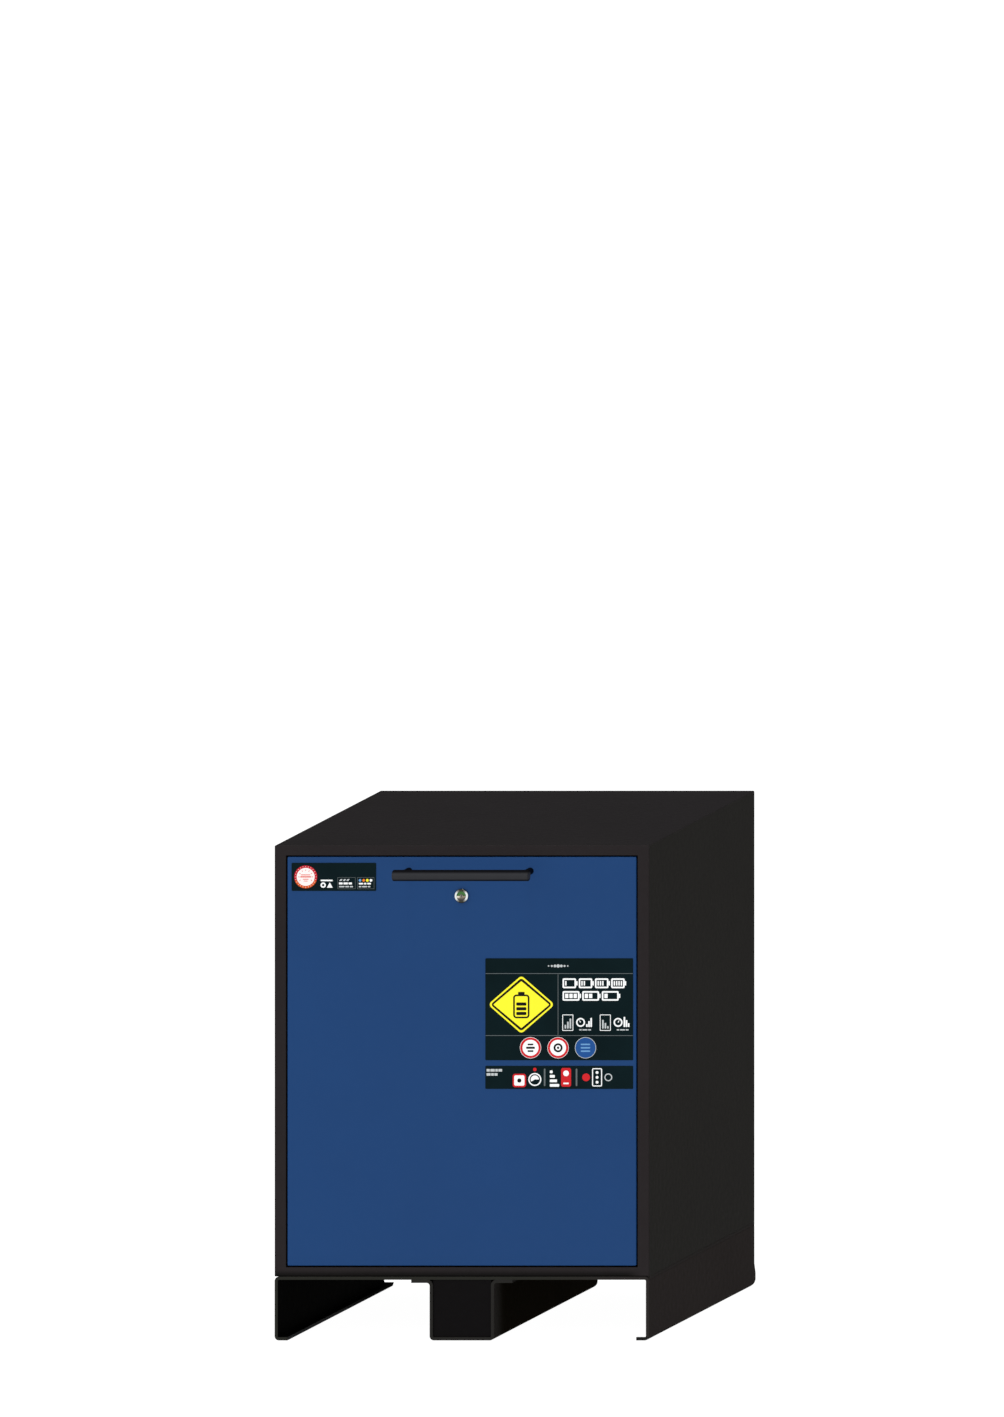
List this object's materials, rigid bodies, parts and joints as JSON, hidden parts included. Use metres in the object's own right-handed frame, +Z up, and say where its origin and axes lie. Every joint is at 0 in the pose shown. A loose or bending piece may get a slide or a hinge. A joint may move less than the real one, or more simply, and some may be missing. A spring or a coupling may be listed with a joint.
{
  "type": "battery cabinet",
  "caption": "Under-bench charging cabinet for rechargeable batteries: insulated steel casing, one full-height insulated drawer with a socket strip, and a low base open for pallet-truck forks.",
  "frame": {"origin": "on the floor, under the middle of the base, at the underside of the centre channel, midway across the width and midway along the casing's depth", "axes": "+X to the right seen from the front, +Y to the rear, +Z up"},
  "size_m": [0.599, 0.704, 0.792],
  "materials": {
    "powder_coat_dark": "fine textured dark grey powder coat",
    "powder_coat_blue": "fine textured blue powder coat",
    "powder_coat_black": "black powder coat",
    "powder_coat_light": "light grey powder coat",
    "galvanised_sheet": "galvanised",
    "fire_board": "matt mineral board",
    "liner_board": "light grey faced board",
    "seal_dark": "matt seal",
    "zinc_steel": "zinc plated",
    "handle_black": "satin black",
    "lock_chrome": "bright",
    "lock_brass": "satin",
    "indicator_green": "green",
    "indicator_red": "red",
    "label_film": "printed film",
    "spigot_zinc": "zinc plated",
    "plastic_black": "fine texture",
    "plastic_white": "satin",
    "aluminium_rail": "anodised",
    "nickel_brass": "nickel plated",
    "switch_red": "red",
    "sheet_grey": "light grey powder coat"
  },
  "bodies": {
    "cabinet": {"base_frame": "powder_coat_black", "base_channel": "powder_coat_black", "channel_end_plates": "powder_coat_black", "base_bolts": "zinc_steel", "side_seals": "seal_dark", "casing_wrap": "powder_coat_dark", "casing_back": "powder_coat_dark", "casing_floor": "galvanised_sheet", "face_frame": "powder_coat_dark", "frame_fillers": "fire_board", "jamb_frame": "galvanised_sheet", "intumescent_strip": "seal_dark", "insulation_back": "fire_board", "insulation_top": "fire_board", "insulation_bottom": "fire_board", "insulation_sides": "fire_board", "liner_sides": "liner_board", "liner_top": "liner_board", "liner_bottom": "liner_board", "liner_back": "liner_board", "strike_plate": "zinc_steel", "duct_spigots": "spigot_zinc", "exhaust_grille": "sheet_grey", "supply_duct": "sheet_grey", "cable_gland": "nickel_brass", "earth_stud": "zinc_steel", "heat_detector": "plastic_white", "slide_cabinet_rails": "zinc_steel", "slide_rail_screws": "zinc_steel", "back_screws": "zinc_steel"},
    "drawer": {"front_skin": "powder_coat_blue", "front_insulation": "fire_board", "front_back_plate": "sheet_grey", "front_gasket": "seal_dark", "handle_bar": "handle_black", "handle_posts": "handle_black", "lock_housing": "lock_chrome", "lock_nut": "zinc_steel", "label_plates": "label_film", "drawer_side_left": "sheet_grey", "drawer_side_right": "sheet_grey", "drawer_back": "sheet_grey", "spill_tray": "galvanised_sheet", "perforated_floor": "sheet_grey", "drawer_screws": "zinc_steel", "slide_drawer_rails": "zinc_steel", "socket_strip": "aluminium_rail", "strip_sockets": "plastic_black"},
    "slide_middles": {"slide_middle_left": "zinc_steel", "slide_middle_right": "zinc_steel"},
    "cages_outer": {"ball_cages_outer": "zinc_steel"},
    "cages_inner": {"ball_cages_inner": "zinc_steel"},
    "lock_cylinder": {"lock_plug": "lock_chrome", "lock_cam": "zinc_steel", "lock_disc_green": "indicator_green", "lock_disc_red": "indicator_red"},
    "exhaust_damper": {"exhaust_flap": "zinc_steel"},
    "supply_damper": {"supply_flap": "zinc_steel"},
    "strip_switch": {"strip_rocker": "switch_red"}
  },
  "joints": [
    {"name": "drawer_slide", "type": "slide", "parent": "cabinet", "child": "drawer", "axis": [0, -1, 0], "range_m": [0, 0.46]},
    {"name": "slide_middles", "type": "slide", "parent": "cabinet", "child": "slide_middles", "axis": [0, -1, 0], "range_m": [0, 0.23]},
    {"name": "cages_outer", "type": "slide", "parent": "cabinet", "child": "cages_outer", "axis": [0, -1, 0], "range_m": [0, 0.115]},
    {"name": "cages_inner", "type": "slide", "parent": "cabinet", "child": "cages_inner", "axis": [0, -1, 0], "range_m": [0, 0.345]},
    {"name": "lock_turn", "type": "hinge", "parent": "drawer", "child": "lock_cylinder", "pos_m": [0, -0.2525, 0.7115], "axis": [0, 1, 0], "range_deg": [0, 180]},
    {"name": "exhaust_flap", "type": "hinge", "parent": "cabinet", "child": "exhaust_damper", "pos_m": [0.15, 0.292, 0.69], "axis": [1, 0, 0], "range_deg": [0, 85]},
    {"name": "supply_flap", "type": "hinge", "parent": "cabinet", "child": "supply_damper", "pos_m": [-0.15, 0.292, 0.69], "axis": [1, 0, 0], "range_deg": [0, 85]},
    {"name": "strip_switch", "type": "hinge", "parent": "drawer", "child": "strip_switch", "pos_m": [0.125, 0.186, 0.347], "axis": [1, 0, 0], "range_deg": [0, 14]}
  ],
  "couplings": [
    {"joint": "slide_middles", "follows": "drawer_slide", "ratio": 0.5},
    {"joint": "cages_outer", "follows": "drawer_slide", "ratio": 0.25},
    {"joint": "cages_inner", "follows": "drawer_slide", "ratio": 0.75}
  ]
}
